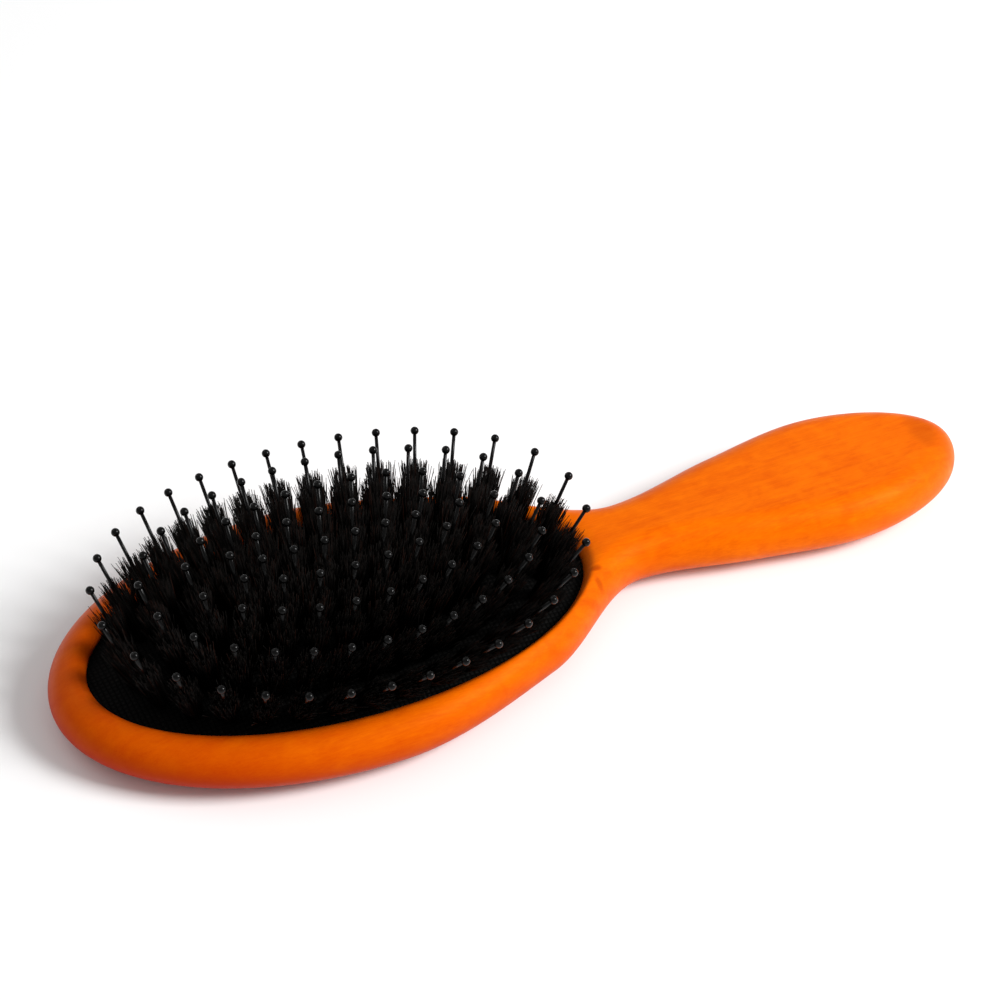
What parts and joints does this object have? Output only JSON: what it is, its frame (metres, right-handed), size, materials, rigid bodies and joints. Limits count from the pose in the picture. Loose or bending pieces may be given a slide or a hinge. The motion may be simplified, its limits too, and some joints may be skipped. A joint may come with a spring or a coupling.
{
  "type": "cushion hairbrush",
  "caption": "Oval wooden cushion hairbrush with a paddle-shaped handle, domed black rubber cushion, dark bristle tufts and ball-tipped pins.",
  "frame": {"origin": "on the flat back of the head, under the middle of the head's oval", "axes": "+X along the brush from the head to the end of the handle, +Z out of the bristle side, +Y across the head"},
  "size_m": [0.2153, 0.0744, 0.0344],
  "materials": {
    "lacquered_wood": "satin lacquer",
    "cloth_rubber": "woven cloth face",
    "boar_bristle": "natural bristle",
    "black_nylon": "gloss"
  },
  "bodies": {
    "handle": {"handle_body": "lacquered_wood", "cushion_pad": "cloth_rubber"},
    "outer_ring": {"outer_ring_tufts_1": "boar_bristle", "outer_ring_tufts_2": "boar_bristle", "outer_ring_tufts_3": "boar_bristle", "outer_ring_tufts_4": "boar_bristle", "outer_ring_pins_1": "black_nylon", "outer_ring_pins_2": "black_nylon", "outer_ring_pins_3": "black_nylon", "outer_ring_pins_4": "black_nylon"},
    "second_ring": {"second_ring_tufts_1": "boar_bristle", "second_ring_tufts_2": "boar_bristle", "second_ring_tufts_3": "boar_bristle", "second_ring_tufts_4": "boar_bristle", "second_ring_pins_1": "black_nylon", "second_ring_pins_2": "black_nylon", "second_ring_pins_3": "black_nylon", "second_ring_pins_4": "black_nylon"},
    "third_ring": {"third_ring_tufts_1": "boar_bristle", "third_ring_tufts_2": "boar_bristle", "third_ring_tufts_3": "boar_bristle", "third_ring_pins_1": "black_nylon", "third_ring_pins_2": "black_nylon", "third_ring_pins_3": "black_nylon"},
    "inner_ring": {"inner_ring_tufts_1": "boar_bristle", "inner_ring_tufts_2": "boar_bristle", "inner_ring_tufts_3": "boar_bristle", "inner_ring_pins_1": "black_nylon", "inner_ring_pins_2": "black_nylon", "inner_ring_pins_3": "black_nylon"},
    "centre_row": {"centre_row_tufts": "boar_bristle", "centre_row_pins": "black_nylon"}
  },
  "joints": [
    {"name": "cushion_press", "type": "slide", "parent": "handle", "child": "centre_row", "axis": [0, 0, -1], "range_m": [0, 0.003], "stiffness_N_per_m": 1500, "deforming": ["cushion_pad"]},
    {"name": "outer_ring_press", "type": "slide", "parent": "handle", "child": "outer_ring", "axis": [0, 0, -1], "range_m": [0, 0.00111]},
    {"name": "second_ring_press", "type": "slide", "parent": "handle", "child": "second_ring", "axis": [0, 0, -1], "range_m": [0, 0.00207]},
    {"name": "third_ring_press", "type": "slide", "parent": "handle", "child": "third_ring", "axis": [0, 0, -1], "range_m": [0, 0.0027]},
    {"name": "inner_ring_press", "type": "slide", "parent": "handle", "child": "inner_ring", "axis": [0, 0, -1], "range_m": [0, 0.00295]}
  ],
  "couplings": [
    {"joint": "outer_ring_press", "follows": "cushion_press", "ratio": 0.369},
    {"joint": "second_ring_press", "follows": "cushion_press", "ratio": 0.69},
    {"joint": "third_ring_press", "follows": "cushion_press", "ratio": 0.9},
    {"joint": "inner_ring_press", "follows": "cushion_press", "ratio": 0.982}
  ]
}
